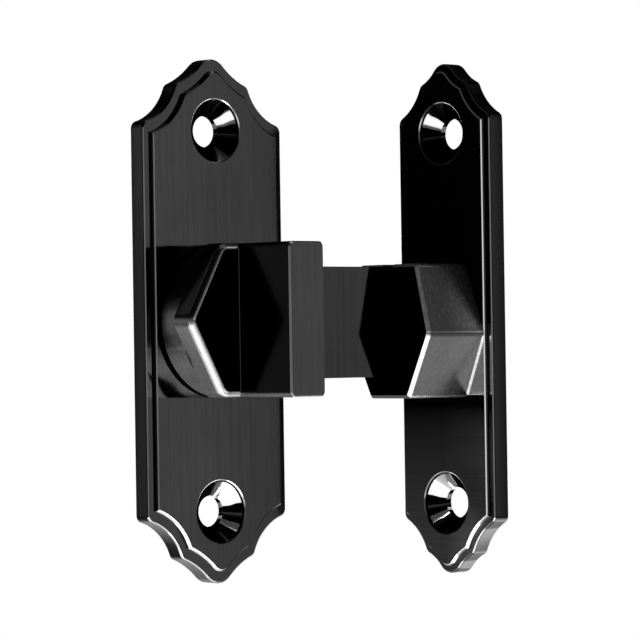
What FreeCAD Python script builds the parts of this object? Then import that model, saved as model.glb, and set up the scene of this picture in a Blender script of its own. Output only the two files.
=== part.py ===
import FreeCAD, Part
import math
import os

# Inside-corner flip latch for a sliding barn door, millimetres, closed.
# The latch plate lies on the jamb: its back is the plane Y = 0 and it faces -Y, with +Z up.
# The keeper plate lies on the door at a right angle to it, faces -X and stands at +X.
# The origin is on the back of the latch plate, on the axis that the latch head turns about.

Vector = FreeCAD.Vector

# Both plates: a base with a raised, bevelled panel, ogee ends and two countersunk holes
plate_thickness = 2.9
panel_rise = 0.7
panel_bevel = 0.35
plate_edge_bevel = 0.25
corner_radius = 1.2
panel_tip_radius = 2.0
screw_hole_diameter = 5.0
countersink_diameter = 10.2
countersink_angle = 90.0

# Latch plate
latch_width = 28.5
latch_height = 82.6
latch_end_height = 10.3
latch_nose_width = 15.0
latch_nose_height = 4.2
latch_nose_angle = 45.0
latch_scoop_depth = 1.25
latch_border = 1.4
latch_end_inset = 0.5
latch_hole_spacing = 60.0

# Keeper plate
keeper_width = 21.0
keeper_height = 81.9
keeper_end_height = 8.6
keeper_nose_width = 10.9
keeper_nose_height = 3.25
keeper_nose_angle = 50.0
keeper_scoop_depth = 0.75
keeper_border = 1.0
keeper_end_inset = 0.1
keeper_hole_spacing = 59.4

# Latch head: a round foot, a hexagonal boss and a flat upright arm in one casting
foot_gap = 0.7
foot_diameter = 24.2
foot_height = 4.5
boss_across_flats = 24.0
boss_across_corners = 27.4
boss_flat_width = 13.9
boss_height = 4.0
boss_corner_radius = 2.2
boss_edge_radius = 1.2
arm_thickness = 7.1
arm_inset = 0.05
arm_length = 11.9
arm_corner_radius = 0.9
arm_edge_bevel = 0.25

# Blade: a flat strip set in the arm, edge up
blade_width = 17.4
blade_thickness = 2.0
blade_drop = 0.5
blade_root_depth = 5.4
blade_corner_radius = 1.5
blade_engagement = 7.0

# Pivot of the head: a screw from the back, a disc spring and a washer under the foot
pivot_shank_diameter = 5.0
pivot_head_diameter = 9.0
pivot_head_height = 1.1
pivot_head_recess = 0.2
pivot_socket_width = 3.0
pivot_socket_depth = 0.7
pivot_grip = 9.0
pivot_clearance = 0.05
recess_clearance = 0.3
spring_height = 0.6
spring_thickness = 0.3
spring_diameter = 8.6
washer_diameter = 15.0

# Keeper block: a hexagonal casting on the keeper plate, slotted from above for the blade
keeper_reach = 38.1
block_length = 12.2
block_corner_width = 18.8
block_base_width = 10.3
block_end_top_width = 13.4
block_end_bottom_width = 9.0
block_lip = 0.4
block_floor = 3.4
block_corner_drop = 0.5
block_corner_radius = 0.8
block_shoulder_radius = 1.6
block_edge_bevel = 0.5
slot_side_clearance = 0.2
slot_seat_clearance = 0.05
slot_sweep_clearance = 0.4
block_screw_diameter = 3.0
block_screw_head_diameter = 5.8
block_screw_grip = 5.0
block_screw_side = 3.4
screw_fit = 0.05

# How near two levels lie to count as one, and the corners of a hexagon socket
same_level = 0.0001
socket_corners = 6

# Worked out from the sizes above
panel_level = plate_thickness + panel_rise
foot_level = panel_level + foot_gap
boss_level = foot_level + foot_height
arm_root_level = boss_level + boss_height
arm_top_level = arm_root_level + arm_length
blade_level = arm_root_level + arm_length / 2
blade_top = blade_width / 2 - blade_drop
blade_bottom = -blade_width / 2 - blade_drop
block_end_level = panel_level + block_length
keeper_end = keeper_reach - block_end_level
blade_tip = keeper_end + blade_engagement
blade_sweep = math.hypot(blade_tip, blade_bottom)
slot_depth = blade_sweep + slot_sweep_clearance - keeper_end
slot_floor = blade_bottom - slot_seat_clearance
block_top = blade_top + block_lip
block_bottom = slot_floor - block_floor
block_corner_height = (block_top + block_bottom) / 2 - block_corner_drop
pivot_recess_depth = pivot_head_recess + pivot_head_height + spring_height


def point(x, y, z=0.0):
    return Vector(x, y, z)


def arc_about(circle, start, end):
    """Short arc of a circle, given as centre and radius, between two points on it."""
    centre, radius = circle
    outwards = (start + end - centre * 2).normalize()
    return Part.Arc(start, centre + outwards * radius, end).toShape()


def meeting(first, second, near):
    """Where two circles meet, at the crossing nearer to a point."""
    (first_centre, first_radius), (second_centre, second_radius) = first, second
    line = second_centre - first_centre
    distance = line.Length
    along = (first_radius ** 2 - second_radius ** 2 + distance ** 2) / (2 * distance)
    across = math.sqrt(first_radius ** 2 - along ** 2)
    line.normalize()
    side = point(-line.y, line.x) * across
    foot = first_centre + line * along
    return min(foot + side, foot - side, key=lambda crossing: (crossing - near).Length)


def end_circles(width, height, end_height, nose_width, nose_height, nose_angle, scoop_depth, border):
    """Circles of one ogee end: the scoop over the shoulder, the nose and the tip, and the cusp."""
    tip = height / 2
    angle = math.radians(nose_angle)
    shoulder = point(width / 2, tip - end_height)
    cusp = point(nose_width / 2, tip - nose_height)
    chord = cusp - shoulder
    scoop_radius = (chord.Length ** 2 / 4 + scoop_depth ** 2) / (2 * scoop_depth)
    outwards = point(chord.y, -chord.x).normalize()
    scoop_centre = (shoulder + cusp) * 0.5 + outwards * (scoop_radius - scoop_depth)
    tip_radius = panel_tip_radius + border
    tip_centre = point(0, tip - tip_radius)
    away = point(math.sin(angle), math.cos(angle))
    reach = tip_centre + away * tip_radius - cusp
    nose_radius = -reach.Length ** 2 / (2 * away.dot(reach))
    nose_centre = tip_centre + away * (tip_radius + nose_radius)
    return (scoop_centre, scoop_radius), (nose_centre, nose_radius), (tip_centre, tip_radius), cusp


def plate_outline(sizes, border, inset):
    """Closed outline of a plate, moved inwards by an inset: two sides and four mirrored ends."""
    scoop, nose, tip, cusp = end_circles(*sizes, border)
    scoop = (scoop[0], scoop[1] + inset)
    nose = (nose[0], nose[1] + inset)
    tip = (tip[0], tip[1] - inset)
    side = sizes[0] / 2 - inset
    drop = math.sqrt(scoop[1] ** 2 - (side - scoop[0].x) ** 2)
    shoulder = point(side, scoop[0].y - drop)
    cusp = meeting(scoop, nose, cusp)
    blend = tip[0] + (nose[0] - tip[0]).normalize() * tip[1]
    top = tip[0] + point(0, tip[1])
    quarter = [arc_about(scoop, shoulder, cusp), arc_about(nose, cusp, blend), arc_about(tip, blend, top)]
    origin = point(0, 0)
    upper = quarter + [edge.mirror(origin, point(1, 0)) for edge in quarter]
    lower = [edge.mirror(origin, point(0, 1)) for edge in upper]
    straights = []
    for x in (-side, side):
        straights.append(Part.makeLine(point(x, -shoulder.y), point(x, shoulder.y)))
    return Part.Wire(Part.__sortEdges__(upper + lower + straights))


def upright_edges(shape, distances):
    """Edges along Z that stand at one of the given distances from the YZ plane."""
    found = []
    for edge in shape.Edges:
        ends = [vertex.Point for vertex in edge.Vertexes]
        if len(ends) != 2 or (ends[0] - ends[1]).cross(point(0, 0, 1)).Length > same_level:
            continue
        if any(abs(abs(ends[0].x) - distance) < same_level for distance in distances):
            found.append(edge)
    return found


def face_at(shape, level):
    """The flat face square to Z at a level."""
    for face in shape.Faces:
        if max(abs(face.BoundBox.ZMin - level), abs(face.BoundBox.ZMax - level)) < same_level:
            return face
    raise ValueError("no flat face at %g" % level)


def blank_plate(sizes, border, end_inset):
    """Base plate with eased corners and its raised, bevelled panel, front towards +Z."""
    base = Part.Face(plate_outline(sizes, border, 0.0)).extrude(point(0, 0, plate_thickness))
    width, nose_width = sizes[0], sizes[3]
    base = base.makeFillet(corner_radius, upright_edges(base, (width / 2, nose_width / 2)))
    base = base.makeChamfer(plate_edge_bevel, face_at(base, plate_thickness).OuterWire.Edges)
    panel_sizes = (width, sizes[1] - 2 * end_inset) + sizes[2:]
    panel = Part.Face(plate_outline(panel_sizes, border, border)).extrude(point(0, 0, panel_level))
    panel = panel.makeChamfer(panel_bevel, face_at(panel, panel_level).OuterWire.Edges)
    return base.fuse(panel).removeSplitter()


def countersunk_hole(centre_y):
    """Cutter for one screw hole, wide end at the front of the panel."""
    hole = Part.makeCylinder(screw_hole_diameter / 2, panel_level, point(0, centre_y))
    slope = math.tan(math.radians(countersink_angle / 2))
    depth = (countersink_diameter - screw_hole_diameter) / 2 / slope
    start = point(0, centre_y, panel_level - depth)
    cone = Part.makeCone(screw_hole_diameter / 2, countersink_diameter / 2, depth, start)
    return hole.fuse(cone)


def drilled(plate, spacing):
    for centre_y in (-spacing / 2, spacing / 2):
        plate = plate.cut(countersunk_hole(centre_y))
    return plate


def latch_plate():
    sizes = (latch_width, latch_height, latch_end_height,
             latch_nose_width, latch_nose_height, latch_nose_angle, latch_scoop_depth)
    plate = blank_plate(sizes, latch_border, latch_end_inset)
    plate = drilled(plate, latch_hole_spacing)
    bore = Part.makeCylinder(pivot_shank_diameter / 2 + pivot_clearance, panel_level)
    recess = Part.makeCylinder(pivot_head_diameter / 2 + recess_clearance, pivot_recess_depth)
    return plate.cut(bore.fuse(recess))


def pivot_screw():
    """Low head with a hexagon socket, and the plain shank that the head turns with."""
    head = Part.makeCylinder(pivot_head_diameter / 2, pivot_head_height, point(0, 0, pivot_head_recess))
    shank_top = foot_level + pivot_grip
    shank = Part.makeCylinder(pivot_shank_diameter / 2, shank_top - pivot_head_recess,
                              point(0, 0, pivot_head_recess))
    corner = pivot_socket_width / 2 / math.cos(math.pi / socket_corners)
    ring = []
    for k in range(socket_corners + 1):
        turn = 2 * math.pi * k / socket_corners
        ring.append(point(corner * math.cos(turn), corner * math.sin(turn), pivot_head_recess))
    socket = Part.Face(Part.makePolygon(ring)).extrude(point(0, 0, pivot_socket_depth))
    return head.fuse(shank).cut(socket).removeSplitter()


def disc_spring():
    """Shallow cone between the screw's head and the floor of the plate's recess."""
    inner = pivot_shank_diameter / 2 + pivot_clearance
    outer = spring_diameter / 2
    low = pivot_head_recess + pivot_head_height
    rise = spring_height - spring_thickness
    section = [point(inner, 0, low), point(outer, 0, low + rise),
               point(outer, 0, low + spring_height), point(inner, 0, low + spring_thickness),
               point(inner, 0, low)]
    return Part.Face(Part.makePolygon(section)).revolve(point(0, 0), point(0, 0, 1), 360)


def foot_washer():
    """Plain washer that carries the foot a little off the panel."""
    disc = Part.makeCylinder(washer_diameter / 2, foot_gap, point(0, 0, panel_level))
    bore = Part.makeCylinder(pivot_shank_diameter / 2 + pivot_clearance, foot_gap,
                             point(0, 0, panel_level))
    return disc.cut(bore)


def hexagon(corner_width, flat_width_top, flat_width_bottom, top, bottom, corner_height, level):
    """Six-sided outline with flats above and below and a corner at each side."""
    corners = [(corner_width / 2, corner_height), (flat_width_top / 2, top),
               (-flat_width_top / 2, top), (-corner_width / 2, corner_height),
               (-flat_width_bottom / 2, bottom), (flat_width_bottom / 2, bottom)]
    ring = [point(x, y, level) for x, y in corners]
    return Part.makePolygon(ring + ring[:1])


def hexagonal_boss():
    """Boss with eased corners, and a rounded rim round its end face."""
    flat = boss_across_flats / 2
    outline = hexagon(boss_across_corners, boss_flat_width, boss_flat_width, flat, -flat, 0.0, boss_level)
    boss = Part.Face(outline).extrude(point(0, 0, boss_height))
    boss = boss.makeFillet(boss_corner_radius,
                           upright_edges(boss, (boss_across_corners / 2, boss_flat_width / 2)))
    rim = face_at(boss, arm_root_level).OuterWire.Edges
    return boss.makeFillet(boss_edge_radius, rim)


def upright_arm():
    """Thick flat arm that stands on the boss, as high as the boss is across its flats."""
    height = boss_across_flats - 2 * arm_inset
    root = boss_level + boss_height / 2
    corner = point(-arm_thickness / 2, -height / 2, root)
    arm = Part.makeBox(arm_thickness, height, arm_top_level - root, corner)
    arm = arm.makeFillet(arm_corner_radius, upright_edges(arm, (arm_thickness / 2,)))
    return arm.makeChamfer(arm_edge_bevel, face_at(arm, arm_top_level).OuterWire.Edges)


def latch_head():
    foot = Part.makeCylinder(foot_diameter / 2, foot_height, point(0, 0, foot_level))
    head = foot.fuse([hexagonal_boss(), upright_arm()]).removeSplitter()
    slot = Part.makeBox(blade_root_depth, blade_width, blade_thickness,
                        point(arm_thickness / 2 - blade_root_depth, blade_bottom,
                              blade_level - blade_thickness / 2))
    bore = Part.makeCylinder(pivot_shank_diameter / 2, pivot_grip, point(0, 0, foot_level))
    return head.cut(slot.fuse(bore))


def latch_blade():
    """Flat strip, edge up, from its slot in the arm to its rounded tip in the keeper."""
    root = arm_thickness / 2 - blade_root_depth
    blade = Part.makeBox(blade_tip - root, blade_width, blade_thickness,
                         point(root, blade_bottom, blade_level - blade_thickness / 2))
    return blade.makeFillet(blade_corner_radius, upright_edges(blade, (blade_tip,)))


def keeper_plate():
    sizes = (keeper_width, keeper_height, keeper_end_height,
             keeper_nose_width, keeper_nose_height, keeper_nose_angle, keeper_scoop_depth)
    plate = blank_plate(sizes, keeper_border, keeper_end_inset)
    plate = drilled(plate, keeper_hole_spacing)
    for side in (-1, 1):
        plate = plate.cut(block_screw(side, screw_fit))
    return plate


def keeper_block():
    """Hexagonal block whose shoulders flare towards its end, slotted for the blade."""
    base = hexagon(block_corner_width, block_base_width, block_base_width,
                   block_top, block_bottom, block_corner_height, panel_level)
    end = hexagon(block_corner_width, block_end_top_width, block_end_bottom_width,
                  block_top, block_bottom, block_corner_height, block_end_level)
    block = Part.makeLoft([base, end], True, True)
    corners = []
    for edge in block.Edges:
        box = edge.BoundBox
        whole_length = box.ZMin < panel_level + same_level and box.ZMax > block_end_level - same_level
        if whole_length and max(-box.XMin, box.XMax) < block_corner_width / 2 - same_level:
            corners.append(edge)
    block = block.makeFillet(block_corner_radius, corners)
    block = block.makeFillet(block_shoulder_radius, upright_edges(block, (block_corner_width / 2,)))
    block = block.makeChamfer(block_edge_bevel, face_at(block, block_end_level).OuterWire.Edges)
    width = blade_thickness + 2 * slot_side_clearance
    slot = Part.makeBox(width, block_top - slot_floor, slot_depth,
                        point(-width / 2, slot_floor, block_end_level - slot_depth))
    block = block.cut(slot)
    for side in (-1, 1):
        block = block.cut(block_screw(side, 0.0))
    return block


def block_screw(side, clearance):
    """Countersunk screw from the back of the keeper plate into the block beside the slot."""
    x = side * block_screw_side
    y = block_corner_height
    head = block_screw_head_diameter / 2 + clearance
    shank = block_screw_diameter / 2 + clearance
    cone = Part.makeCone(head, shank, head - shank, point(x, y))
    return cone.fuse(Part.makeCylinder(shank, panel_level + block_screw_grip, point(x, y))).removeSplitter()


def on_jamb(shape):
    """Turns a piece made face up so that it faces -Y with its top at +Z."""
    placed = shape.copy()
    placed.rotate(point(0, 0), point(1, 0), 90)
    return placed


def on_door(shape):
    """Turns a piece made face up so that it faces -X, level with the blade's plane."""
    placed = on_jamb(shape)
    placed.rotate(point(0, 0), point(0, 0, 1), -90)
    placed.translate(point(keeper_reach, -blade_level))
    return placed


os.makedirs("parts", exist_ok=True)
pieces = {
    "latch_plate": on_jamb(latch_plate()),
    "latch_head": on_jamb(latch_head()),
    "latch_blade": on_jamb(latch_blade()),
    "pivot_screw": on_jamb(pivot_screw()),
    "disc_spring": on_jamb(disc_spring()),
    "foot_washer": on_jamb(foot_washer()),
    "keeper_plate": on_door(keeper_plate()),
    "keeper_block": on_door(keeper_block()),
    "block_screw_near": on_door(block_screw(1, 0.0)),
    "block_screw_far": on_door(block_screw(-1, 0.0)),
}
for name, shape in pieces.items():
    shape.exportStep("parts/%s.step" % name)
    print(name, shape.isValid(), len(shape.Solids), round(shape.Volume, 1))
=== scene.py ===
import math
import bpy
from mathutils import Matrix, Vector

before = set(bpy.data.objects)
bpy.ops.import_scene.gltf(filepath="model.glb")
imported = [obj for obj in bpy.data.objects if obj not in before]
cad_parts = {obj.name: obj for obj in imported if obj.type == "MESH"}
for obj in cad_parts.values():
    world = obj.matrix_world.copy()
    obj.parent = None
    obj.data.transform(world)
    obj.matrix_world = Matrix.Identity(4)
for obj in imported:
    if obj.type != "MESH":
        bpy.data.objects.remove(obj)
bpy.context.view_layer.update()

# The camera that the plates' outlines were fitted with, in metres, degrees and pixels
camera_place = Vector((-0.356386, -0.423525, -0.004287))
camera_yaw = math.radians(41.984)
camera_rise = math.radians(0.439)
camera_roll = math.radians(0.863)
camera_reach = (0.01, 50.0)
picture_width = 640
focal_pixels = 3497.5
sensor_width = 36.0

# Places and sizes on the object, in metres
boss_end = -0.0128
boss_length = 0.0040
boss_half_height = 0.0120
arm_end = -0.0247
arm_corner = 0.0004
arm_root_height = 0.00014
end_face_depth = 0.0005
face_margin = 0.0001
keeper_centre_y = -0.01875
keeper_back = 0.0381
block_foot = 0.0342
block_lower_half = (-0.0123, -0.0010)
panel_foot = 0.0031
panel_ridge = (0.00345, 0.0037)
border_ridge = (0.00276, 0.0030)
countersink_radius = 0.0051
countersink_floor = 0.0004
lip_width = 0.00015
latch_hole_height = 0.030
keeper_hole_height = 0.0297

# How squarely a surface faces one way: 1 is square on and 0 is side on
flat_facing = 0.97
wall_facing = 0.3
square_facing = 0.98

# Slopes, as the part of a surface's unit normal that lies along one axis, and bands of them
lowest_slope = -0.57
side_line_slopes = (0.02, 0.15)
low_wall_span = 0.40
sink_far_slope = -0.25
sink_near_slope = 0.12
sink_wedge_slopes = (-0.52, -0.19)
sink_crown_slopes = (-0.6, 0.08)
sink_patch_slopes = (0.06, 0.17)
sink_streak_slopes = (0.33, 0.50)
lip_lean = 1.2
arm_corner_slopes = (0.3, 0.95)
boss_upper_slopes = (0.45, 0.55)
boss_rim_slopes = ((-0.98, -0.88), (0.04, 0.45))
boss_low_rim_slopes = ((-0.98, -0.25), (-0.6, -0.06))
block_rim_slopes = ((-0.95, -0.5), (0.02, 0.55))
block_low_rim_slopes = ((-0.95, -0.5), (-0.6, -0.05))
shoulder_slope = 0.03
block_foot_slope = -0.2
block_under_slope = -0.3

# Shading over corners: widest angle to smooth, and the grids that tell places and planes apart
smooth_angle = math.radians(32.0)
place_grid = 1e6
normal_grid = 500
offset_grid = 1e5

# Brushing: stretch of the grain along each axis, its scale and depth, and the softer clouds
upright = (6.0, 6.0, 0.10)
level_y = (6.0, 0.10, 6.0)
every_way = (1.0, 1.0, 1.0)
streak_scale = 520.0
streak_detail = (5.0, 0.65)
cloud_scale = 70.0
cloud_detail = (3.0, 0.5)
streak_share = 0.7
grain_depth = 0.00002
plain_grain = 0.2
fine_grain = 0.1
grain_range = (0.35, 0.65)
uneven_range = (0.82, 1.18)
rough_spread = 0.02
polished_rough = 0.12

# Tones
# Polished end faces and arm sides are near black: painted shade in place of the dark surroundings that they
# mirror
polished_boss = 0.0015
polished_block = 0.0012
arm_front = 0.054
# Painted highlight: a pale line along the arm's root
root_highlight = 0.03
# Painted highlights on the boss's upper and lower rims
boss_rim_highlight = 0.35
boss_low_rim_highlight = 0.165
# Painted highlights on the block's rims and along its foot
block_rim_highlight = 0.40
block_low_rim_highlight = 0.19
block_foot_highlight = 0.80
# Painted reflection: a pale strip on the keeper plate beside the block's lower half
beside_block_sheen = 0.17
blade_tone = 0.033
fixing_tone = 0.22
# Painted shade on the side edges off the ridges, and a painted highlight on the edges that look most steeply
# down
ridge_shade = 0.03
lowest_edge_highlight = 0.20
# Countersinks: painted shade over most of the cone and in a band near its rim, painted highlights in a
# wedge, crown, patch and streak
sink_shade = 0.0005
sink_band_shade = 0.001
sink_wedge_highlight = 0.15
sink_crown_highlight = 0.55
sink_patch_highlight = 0.03
sink_streak_highlight = 0.60

# Fades: the two places or slopes that each runs between, and its value at each. They all paint light and
# shade into the tone or the metal: darker where surfaces look up, paler where they look down, and gradients
# across faces and walls
dark_wall_fade = (0.05, 0.20, 0.0, 0.9)
low_line_rise = (-0.12, -0.20, 0.0, 0.60)
low_line_fall = (-0.22, -0.36, 1.0, 0.30)
upper_wall_fade = (0.15, 0.50, 1.0, 0.10)
lip_fade = (-0.05, -0.22, 0.06, 0.60)
latch_face_fade = (-0.004, 0.010, 0.047, 0.038)
latch_wall_height_fade = (0.008, 0.032, 0.010, 0.020)
latch_wall_depth_fade = (0.0, 0.0012, 0.4, 1.0)
keeper_face_height_fade = (-0.014, -0.036, 0.0002, 0.026)
keeper_face_side_fade = (-0.0185, -0.0270, 1.0, 3.2)
keeper_wall_depth_fade = (0.0, 0.0026, 0.007, 0.020)
keeper_top_shade_fade = (-0.030, -0.014, 0.0, 0.9)
head_upper_fade = (0.10, 0.35, 0.085, 0.014)
head_top_fade = (0.55, 0.80, 1.0, 0.15)
head_lower_fade = (-0.2, -0.6, 0.0, 0.22)
head_sheen_fade = (-0.12, 0.10, 0.0, 0.10)
arm_corner_fade = (-0.10, -0.25, 0.13, 0.06)
shoulder_fade = (0.05, 0.16, 0.30, 1.0)
block_height_fade = (-0.1, 0.1, 0.095, 0.19)
block_upper_gain = (0.0275, 0.0345, 1.0, 2.3)
block_lower_gain = (0.027, 0.0345, 1.0, 1.4)
block_under_fade = (-0.50, -0.65, 0.0, 0.90)

# Lamps: name, place, target, size and watts
part_middle = (0.0, -0.01, 0.0)
between_plates = (0.02, -0.01, 0.0)
lamps = (
    ("softbox_above", (0.20, -0.10, 0.80), (0.0, 0.0, 0.0), (0.5, 0.5), 5.0),
    ("softbox_right", (0.46, -0.30, 0.46), between_plates, (0.25, 0.25), 0.30),
    ("lamp_low_left", (-0.20, -0.14, -0.316), part_middle, (0.40, 0.40), 3.0),
    ("lamp_low_front", (0.02, -0.34, -0.24), part_middle, (0.40, 0.20), 1.13),
    ("lamp_below", (0.06, -0.12, -0.37), between_plates, (0.30, 0.20), 0.6),
    ("lamp_low_right", (0.25, -0.08, -0.26), between_plates, (0.25, 0.25), 0.24),
    ("lamp_low_back", (-0.21, 0.10, -0.285), part_middle, (0.16, 0.16), 0.20),
)
floor_size = 3.0
floor_height = -0.40
floor_tone = 0.85
floor_rough = 0.9
floor_glow = 0.25
sky_fade = (("From Min", 0.11), ("From Max", 0.26), ("To Min", 1.0), ("To Max", 0.08))


class Tree:
    """A material's node tree with short helpers that add and join nodes."""

    def __init__(self, name):
        self.material = bpy.data.materials.new(name)
        self.material.use_nodes = True
        self.nodes = self.material.node_tree.nodes
        self.links = self.material.node_tree.links
        self.shader = self.nodes["Principled BSDF"]
        coordinates = self.add("ShaderNodeTexCoord")
        self.place = coordinates.outputs["Object"]
        self.x, self.y, self.z = self.split(self.place)
        self.normal_x, self.normal_y, self.normal_z = self.split(coordinates.outputs["Normal"])

    def add(self, kind, **settings):
        node = self.nodes.new(kind)
        for key, value in settings.items():
            setattr(node, key, value)
        return node

    def feed(self, socket, value):
        if isinstance(value, bpy.types.NodeSocket):
            self.links.new(value, socket)
        else:
            socket.default_value = value

    def split(self, vector):
        node = self.add("ShaderNodeSeparateXYZ")
        self.feed(node.inputs[0], vector)
        return tuple(node.outputs)

    def math(self, operation, first, second=0.0):
        node = self.add("ShaderNodeMath", operation=operation)
        self.feed(node.inputs[0], first)
        self.feed(node.inputs[1], second)
        return node.outputs[0]

    def product(self, first, second):
        return self.math("MULTIPLY", first, second)

    def total(self, first, second):
        return self.math("ADD", first, second)

    def amount(self, value):
        return self.math("ABSOLUTE", value)

    def below(self, value, limit):
        return self.math("LESS_THAN", value, limit)

    def over(self, value, limit):
        return self.math("GREATER_THAN", value, limit)

    def between(self, value, low, high):
        return self.product(self.over(value, low), self.below(value, high))

    def sloped(self, normal, slopes):
        """Mask of the rims whose normals lie within one band along an axis and another along z."""
        along, upward = slopes
        return self.product(self.between(normal, *along), self.between(self.normal_z, *upward))

    def choose(self, mask, inside, outside):
        """The first value within a mask and the second one elsewhere."""
        rest = self.product(self.math("SUBTRACT", 1.0, mask), outside)
        return self.total(self.product(mask, inside), rest)

    def ramp(self, value, low, high, out_low, out_high):
        node = self.add("ShaderNodeMapRange", clamp=True)
        for socket, setting in zip(node.inputs, (value, low, high, out_low, out_high)):
            self.feed(socket, setting)
        return node.outputs[0]

    def noise(self, scale, stretch, detail, rough):
        mapping = self.add("ShaderNodeMapping")
        self.feed(mapping.inputs["Vector"], self.place)
        mapping.inputs["Scale"].default_value = stretch
        node = self.add("ShaderNodeTexNoise")
        self.feed(node.inputs["Vector"], mapping.outputs[0])
        node.inputs["Scale"].default_value = scale
        node.inputs["Detail"].default_value = detail
        node.inputs["Roughness"].default_value = rough
        return node.outputs["Fac"]

    def bump(self, height, strength):
        node = self.add("ShaderNodeBump")
        node.inputs["Strength"].default_value = strength
        node.inputs["Distance"].default_value = grain_depth
        self.feed(node.inputs["Height"], height)
        self.feed(self.shader.inputs["Normal"], node.outputs[0])
        return node

    def vector(self, operation, first, second, socket=1):
        node = self.add("ShaderNodeVectorMath", operation=operation)
        self.feed(node.inputs[0], first)
        self.feed(node.inputs[socket], second)
        return node.outputs[0]

    def leaning(self, mask, lean):
        """The surface's normal, leant over within a mask, as a small cove would turn it."""
        turned = self.add("ShaderNodeVectorTransform", vector_type="VECTOR", convert_from="OBJECT",
                          convert_to="WORLD")
        self.feed(turned.inputs[0], lean)
        partly = self.vector("SCALE", turned.outputs[0], mask, 3)
        own = self.add("ShaderNodeNewGeometry").outputs["Normal"]
        return self.vector("NORMALIZE", self.vector("ADD", own, partly), (0.0, 0.0, 0.0))


def grey(value):
    return (value, value, value, 1.0)


def brushed_metal(name, stretch, rough, paint, grain):
    """Black-plated metal, brushed along one direction; paint gives tone with painted light and shade, polish
    and more by face.
    """
    tree = Tree(name)
    streaks = tree.noise(streak_scale, stretch, *streak_detail)
    cloud = tree.noise(cloud_scale, every_way, *cloud_detail)
    look = paint(tree)
    mottle = tree.total(tree.product(streaks, streak_share), tree.product(cloud, 1.0 - streak_share))
    uneven = tree.ramp(mottle, *grain_range, *uneven_range)
    brushed = tree.ramp(streaks, *grain_range, rough - rough_spread, rough + rough_spread)
    if "polish" in look:
        plain = tree.math("SUBTRACT", 1.0, look["polish"])
        uneven = tree.choose(plain, uneven, 1.0)
        brushed = tree.choose(plain, brushed, polished_rough)
        streaks = tree.product(streaks, plain)
    tree.feed(tree.shader.inputs["Base Color"], tree.product(look["tone"], uneven))
    tree.feed(tree.shader.inputs["Roughness"], brushed)
    tree.shader.inputs["Metallic"].default_value = 1.0
    # Painted shade: where the look marks it, the surface becomes non-metal and renders dark
    if "dull_shade" in look:
        tree.feed(tree.shader.inputs["Metallic"], tree.math("SUBTRACT", 1.0, look["dull_shade"]))
    tree.shader.inputs["Specular IOR Level"].default_value = 0.0
    bump = tree.bump(streaks, grain)
    if "normal" in look:
        tree.feed(bump.inputs["Normal"], look["normal"])
    return tree.material


def hole_distance(tree, across, centre, height):
    """Distance from the nearer of a plate's two screw axes."""
    side = tree.math("SUBTRACT", across, centre)
    up = tree.math("SUBTRACT", tree.amount(tree.z), height)
    return tree.math("SQRT", tree.total(tree.product(side, side), tree.product(up, up)))


def dark_walls(tree, facing):
    """Mask of walls that look upward, made non-metal so that they render dark: painted shade."""
    return tree.product(tree.below(facing, wall_facing), tree.ramp(tree.normal_z, *dark_wall_fade))


def plate_tone(tree, facing, depth, face, wall, *, side_edge, upper_part, border_side, low_start, low_wall,
               border_edge):
    """Tone of a plate's face and walls, with painted light and shade: edges and walls are paler below, as
    painted highlights, and darker above, as painted shade.
    """
    is_wall = tree.below(facing, wall_facing)
    is_edge = tree.between(facing, wall_facing, flat_facing)
    ridge = tree.math("MAXIMUM", tree.between(depth, *panel_ridge), tree.between(depth, *border_ridge))
    on_panel = tree.over(depth, panel_foot)
    # Painted highlight along the side edges, kept mostly to the ridges
    side_line = tree.product(tree.ramp(tree.normal_z, *side_line_slopes, side_edge, side_edge * upper_part),
                             tree.product(tree.choose(ridge, 1.0, ridge_shade),
                                          tree.choose(on_panel, 1.0, border_side)))
    # Painted highlight along the edges that look down
    low_line = tree.product(tree.ramp(tree.normal_z, *low_line_rise),
                            tree.ramp(tree.normal_z, *low_line_fall))
    low_line = tree.choose(tree.below(tree.normal_z, lowest_slope), lowest_edge_highlight, low_line)
    edge = tree.total(side_line, tree.product(low_line, tree.choose(on_panel, 1.0, border_edge)))
    # Walls: painted shade where they look up, painted light where they look down
    upper_wall = tree.product(tree.ramp(tree.normal_z, *upper_wall_fade), wall)
    lower_wall = tree.ramp(tree.normal_z, low_start, low_start - low_wall_span, 0.0, low_wall)
    walls = tree.total(upper_wall, lower_wall)
    return tree.choose(is_edge, edge, tree.choose(is_wall, walls, face))


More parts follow.
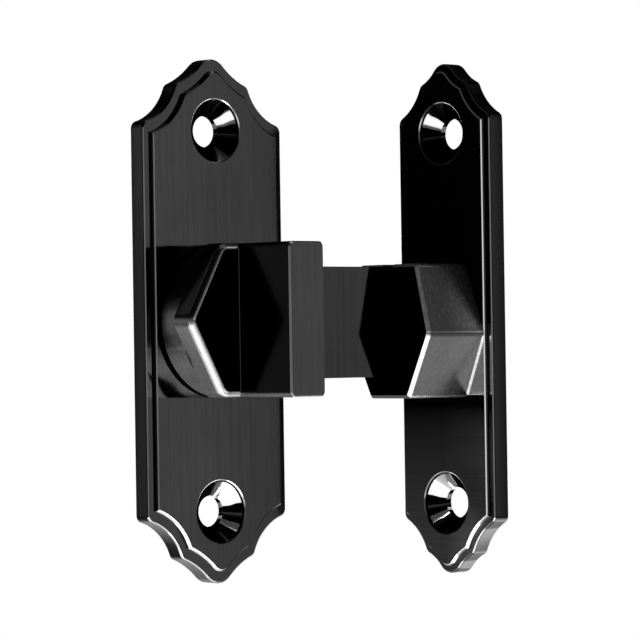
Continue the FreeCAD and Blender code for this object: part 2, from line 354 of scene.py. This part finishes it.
def add_sinks(tree, look, facing, across, distance, outward):
    """Lays the countersinks over a plate's look: painted highlights on the far side, painted shade
    elsewhere, and a leaning rim paler below as a painted highlight.
    """
    def within(margin):
        inside = tree.below(distance, countersink_radius - margin)
        return tree.product(tree.below(facing, flat_facing), inside)

    sunk = within(-face_margin)
    low = tree.below(tree.z, 0.0)
    far = tree.below(across, sink_far_slope)
    # Painted highlights in the cone: a wedge and a patch on the far side, a crown and a streak in the lower
    # holes; the rest gets painted shade
    wedge = tree.product(far, tree.between(tree.normal_z, *sink_wedge_slopes))
    crown = tree.product(tree.between(across, *sink_crown_slopes),
                         tree.below(tree.normal_z, sink_wedge_slopes[0]))
    patch = tree.product(far, tree.between(tree.normal_z, *sink_patch_slopes))
    streak = tree.product(tree.product(low, far), tree.between(tree.normal_z, *sink_streak_slopes))
    tone = tree.choose(wedge, sink_wedge_highlight, sink_shade)
    tone = tree.choose(tree.product(crown, low), sink_crown_highlight, tone)
    tone = tree.choose(patch, sink_patch_highlight, tone)
    tone = tree.choose(streak, sink_streak_highlight, tone)
    # Painted shade in a narrow band just inside the rim
    tone = tree.choose(within(countersink_floor), tone, sink_band_shade)
    # Painted highlight on the rim, paler where it looks down
    tone = tree.choose(within(lip_width), tone, tree.ramp(tree.normal_z, *lip_fade))
    # Painted shade: the near side and the walls are made non-metal, so that they render black
    near = tree.math("MAXIMUM", tree.over(across, sink_near_slope), tree.below(facing, wall_facing))
    lip = tree.math("SUBTRACT", sunk, within(lip_width))
    look["tone"] = tree.choose(sunk, tone, look["tone"])
    look["polish"] = tree.math("MAXIMUM", sunk, look["polish"]) if "polish" in look else sunk
    look["dull_shade"] = tree.choose(sunk, near, look["dull_shade"])
    look["normal"] = tree.leaning(lip, outward)
    return look


def latch_plate_paint(tree):
    """Satin panel and border, outer walls darker as painted shade, edges with painted highlights below and
    painted shade above, and polished countersinks with painted light and shade.
    """
    facing = tree.amount(tree.normal_y)
    depth = tree.product(tree.y, -1.0)
    distance = hole_distance(tree, tree.x, 0.0, latch_hole_height)
    # Painted shade: the face grows a little darker towards +x, and the walls towards the back and lower down
    face = tree.ramp(tree.x, *latch_face_fade)
    wall = tree.product(tree.ramp(tree.z, *latch_wall_height_fade), tree.ramp(depth, *latch_wall_depth_fade))
    tone = plate_tone(tree, facing, depth, face, wall, side_edge=0.13, upper_part=0.02, border_side=1.0,
                      low_start=-0.55, low_wall=0.24, border_edge=0.30)
    look = {"tone": tone, "dull_shade": dark_walls(tree, facing)}
    return add_sinks(tree, look, facing, tree.normal_x, distance, (0.0, -lip_lean, 0.0))


def keeper_plate_paint(tree):
    """Darker than its mate and a little paler towards its lower end, both painted shade and light; edges
    with painted highlights and painted shade, polished countersinks with painted light and shade.
    """
    facing = tree.amount(tree.normal_x)
    depth = tree.math("SUBTRACT", keeper_back, tree.x)
    distance = hole_distance(tree, tree.y, keeper_centre_y, keeper_hole_height)
    # Painted light and shade: the face is near black at the top and paler towards its lower end and towards
    # -y
    face = tree.product(tree.ramp(tree.z, *keeper_face_height_fade),
                        tree.ramp(tree.y, *keeper_face_side_fade))
    # Painted reflection: a pale strip beside the block's lower half, which keeps its metal sheen
    beside_block = tree.product(tree.between(tree.z, *block_lower_half), tree.below(tree.normal_x, 0.0))
    face = tree.choose(beside_block, beside_block_sheen, face)
    # Painted shade: walls darker towards the back
    wall = tree.ramp(depth, *keeper_wall_depth_fade)
    # Painted shade: the upper part of the face is made non-metal so that it renders black, except beside the
    # block
    upper_face_shade = tree.choose(beside_block, 0.0, tree.ramp(tree.z, *keeper_top_shade_fade))
    dark_face = tree.product(tree.over(facing, flat_facing), upper_face_shade)
    tone = plate_tone(tree, facing, depth, face, wall, side_edge=0.60, upper_part=0.90, border_side=0.25,
                      low_start=-0.25, low_wall=0.15, border_edge=0.10)
    look = {"tone": tone, "polish": tree.below(facing, flat_facing),
            "dull_shade": tree.total(dark_walls(tree, facing), dark_face)}
    return add_sinks(tree, look, facing, tree.normal_y, distance, (-lip_lean, 0.0, 0.0))


def arm_root(tree):
    """Narrow band of the arm's polished sides where they rise from the boss, which gets a painted highlight.
    """
    upright_side = tree.over(tree.amount(tree.normal_x), square_facing)
    beside_boss = tree.between(tree.y, boss_end - arm_root_height, boss_end + face_margin)
    return tree.product(upright_side, beside_boss)


def head_paint(tree):
    """Satin sides, with painted shade above and painted light below, and front; polished boss end and arm
    sides, with painted highlights on the rims, the arm's front corners and its root.
    """
    ahead = tree.below(tree.y, boss_end + face_margin)
    side = tree.product(tree.over(tree.amount(tree.normal_x), square_facing), ahead)
    end = tree.product(tree.below(tree.normal_y, -square_facing),
                       tree.over(tree.y, boss_end - end_face_depth))
    polished = tree.math("MAXIMUM", side, end)
    front = tree.below(tree.y, arm_end + face_margin)
    edge = tree.product(tree.below(tree.y, arm_end + arm_corner),
                        tree.between(tree.amount(tree.normal_x), *arm_corner_slopes))
    # Painted shade: faces that look up are darker, darkest at the top
    above = tree.product(tree.ramp(tree.normal_z, *head_upper_fade),
                         tree.ramp(tree.normal_z, *head_top_fade))
    # Painted sheen: the boss's upper left side is paler in a wedge that narrows from its low corner to its
    # top
    slope = tree.product(tree.between(tree.normal_z, *boss_upper_slopes),
                         tree.below(tree.y, boss_end + boss_length))
    lean = tree.math("SUBTRACT", tree.ramp(tree.y, boss_end + boss_length, boss_end, 0.0, 1.0),
                     tree.ramp(tree.z, 0.0, boss_half_height, 0.0, 1.0))
    above = tree.total(above, tree.product(slope, tree.ramp(lean, *head_sheen_fade)))
    # Painted light: faces that look down are paler
    around = tree.total(above, tree.ramp(tree.normal_z, *head_lower_fade))
    # Painted highlights on the boss's upper and lower rims
    rim = tree.sloped(tree.normal_y, boss_rim_slopes)
    low_rim = tree.sloped(tree.normal_y, boss_low_rim_slopes)
    around = tree.choose(rim, boss_rim_highlight, tree.choose(low_rim, boss_low_rim_highlight, around))
    tone = tree.choose(polished, polished_boss, tree.choose(front, arm_front, around))
    # Painted highlight: a pale line along the arm's root, its normal leant as a small cove would turn it
    root = arm_root(tree)
    tone = tree.choose(root, root_highlight, tone)
    # Painted highlight on the arm's front corners, weaker where they look down
    tone = tree.choose(edge, tree.ramp(tree.normal_z, *arm_corner_fade), tone)
    return {"tone": tone, "polish": polished, "normal": tree.leaning(root, (0.0, -1.0, 0.0))}


def block_paint(tree):
    """Satin sides with painted light and shade: darker along the shoulders, paler on the upper sides,
    towards the foot and underneath; painted highlights along the foot and on the rims, and a polished end.
    """
    end = tree.below(tree.normal_x, -square_facing)
    rim = tree.sloped(tree.normal_x, block_rim_slopes)
    low_rim = tree.sloped(tree.normal_x, block_low_rim_slopes)
    # Painted shade along the shoulders, painted light on the upper sides and towards the foot
    level = tree.amount(tree.total(tree.normal_z, shoulder_slope))
    plain = tree.product(tree.ramp(level, *shoulder_fade), tree.ramp(tree.normal_z, *block_height_fade))
    gain = tree.choose(tree.over(tree.normal_z, 0.0), tree.ramp(tree.x, *block_upper_gain),
                       tree.ramp(tree.x, *block_lower_gain))
    side = tree.product(plain, gain)
    # Painted highlight: a pale line along the block's foot
    foot = tree.product(tree.over(tree.x, block_foot), tree.below(tree.normal_z, block_foot_slope))
    # Painted light: faces that look down are paler
    under = tree.product(tree.ramp(tree.normal_z, *block_under_fade),
                         tree.over(tree.normal_x, block_under_slope))
    side = tree.choose(foot, block_foot_highlight, tree.total(side, under))
    # Painted highlights on the block's rims
    side = tree.choose(rim, block_rim_highlight, tree.choose(low_rim, block_low_rim_highlight, side))
    return {"tone": tree.choose(end, polished_block, side), "polish": end}


def blade_paint(tree):
    return {"tone": blade_tone}


def fixing_paint(tree):
    return {"tone": fixing_tone}


def smooth_corners(item):
    """Shading normals that run smoothly over edges flatter than the angle, led by the larger faces."""
    mesh = item.data
    keys = [tuple(round(value * place_grid) for value in vertex.co) for vertex in mesh.vertices]
    planes = {}
    weights = {}
    around = {}
    for polygon in mesh.polygons:
        offset = polygon.normal.dot(polygon.center)
        plane = [round(value * normal_grid) for value in polygon.normal]
        plane = (*plane, round(offset * offset_grid))
        planes[polygon.index] = plane
        weights[plane] = weights.get(plane, 0.0) + polygon.area
        for index in polygon.vertices:
            around.setdefault(keys[index], []).append(polygon.index)
    limit = math.cos(smooth_angle)
    normals = []
    for polygon in mesh.polygons:
        for index in polygon.vertices:
            total = Vector((0.0, 0.0, 0.0))
            for other in around[keys[index]]:
                normal = mesh.polygons[other].normal
                if normal.dot(polygon.normal) > limit:
                    total += normal * weights[planes[other]]
            normals.append(total.normalized())
    mesh.shade_smooth()
    mesh.normals_split_custom_set(normals)


def add_camera():
    """The camera at its fitted place, turned by yaw, rise and roll."""
    data = bpy.data.cameras.new("photo_camera")
    data.sensor_fit = "HORIZONTAL"
    data.sensor_width = sensor_width
    data.lens = focal_pixels / picture_width * sensor_width
    data.clip_start, data.clip_end = camera_reach
    camera = bpy.data.objects.new("photo_camera", data)
    flat = math.cos(camera_rise)
    ahead = Vector((math.sin(camera_yaw) * flat, math.cos(camera_yaw) * flat, math.sin(camera_rise)))
    level = Vector((math.cos(camera_yaw), -math.sin(camera_yaw), 0.0))
    down = ahead.cross(level)
    right = level * math.cos(camera_roll) + down * math.sin(camera_roll)
    lower = down * math.cos(camera_roll) - level * math.sin(camera_roll)
    turn = Matrix((right, -lower, -ahead)).transposed()
    camera.matrix_world = Matrix.Translation(camera_place) @ turn.to_4x4()
    bpy.context.scene.collection.objects.link(camera)
    bpy.context.scene.camera = camera


def add_area(name, place, target, size, watts):
    data = bpy.data.lights.new(name, "AREA")
    data.shape = "RECTANGLE"
    data.size, data.size_y = size
    data.energy = watts
    lamp = bpy.data.objects.new(name, data)
    lamp.location = place
    aim = Vector(target) - Vector(place)
    lamp.rotation_euler = aim.to_track_quat("-Z", "Y").to_euler()
    lamp.visible_camera = False
    bpy.context.scene.collection.objects.link(lamp)


def add_floor():
    """Pale floor below the part, which hangs as it does on a wall."""
    bpy.ops.mesh.primitive_plane_add(size=floor_size, location=(0.0, 0.0, floor_height))
    floor = bpy.context.object
    floor.name = "floor"
    material = bpy.data.materials.new("floor_white")
    material.use_nodes = True
    shader = material.node_tree.nodes["Principled BSDF"]
    shader.inputs["Base Color"].default_value = grey(floor_tone)
    shader.inputs["Roughness"].default_value = floor_rough
    shader.inputs["Emission Color"].default_value = grey(1.0)
    shader.inputs["Emission Strength"].default_value = floor_glow
    floor.data.materials.append(material)


def light_world():
    """White up to the horizon, falling to dark grey overhead."""
    world = bpy.data.worlds.new("studio")
    bpy.context.scene.world = world
    world.use_nodes = True
    nodes, links = world.node_tree.nodes, world.node_tree.links
    place = nodes.new("ShaderNodeTexCoord")
    split = nodes.new("ShaderNodeSeparateXYZ")
    links.new(place.outputs["Generated"], split.inputs[0])
    ramp = nodes.new("ShaderNodeMapRange")
    links.new(split.outputs[2], ramp.inputs["Value"])
    for key, value in sky_fade:
        ramp.inputs[key].default_value = value
    shader = nodes["Background"]
    shader.inputs["Color"].default_value = grey(1.0)
    links.new(ramp.outputs[0], shader.inputs["Strength"])


def dress(node, material):
    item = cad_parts[node]
    smooth_corners(item)
    item.data.materials.clear()
    item.data.materials.append(material)


# Finishes: material, brushing, roughness, paint, grain and the pieces that wear it
fixings = ("pivot_screw", "disc_spring", "foot_washer", "block_screw_near", "block_screw_far")
finishes = (
    ("latch_plate_black", upright, 0.08, latch_plate_paint, plain_grain, ("latch_plate",)),
    ("keeper_plate_black", level_y, 0.20, keeper_plate_paint, plain_grain, ("keeper_plate",)),
    ("head_black", upright, 0.28, head_paint, plain_grain, ("latch_head",)),
    ("block_black", upright, 0.26, block_paint, plain_grain, ("keeper_block",)),
    ("blade_black", upright, 0.05, blade_paint, fine_grain, ("latch_blade",)),
    ("fixing_steel", every_way, 0.32, fixing_paint, plain_grain, fixings),
)
for name, stretch, rough, paint, grain, pieces in finishes:
    finish = brushed_metal(name, stretch, rough, paint, grain)
    for piece in pieces:
        dress(piece, finish)

add_camera()
add_floor()
light_world()
for lamp in lamps:
    add_area(*lamp)
bpy.context.scene.view_settings.view_transform = "Standard"
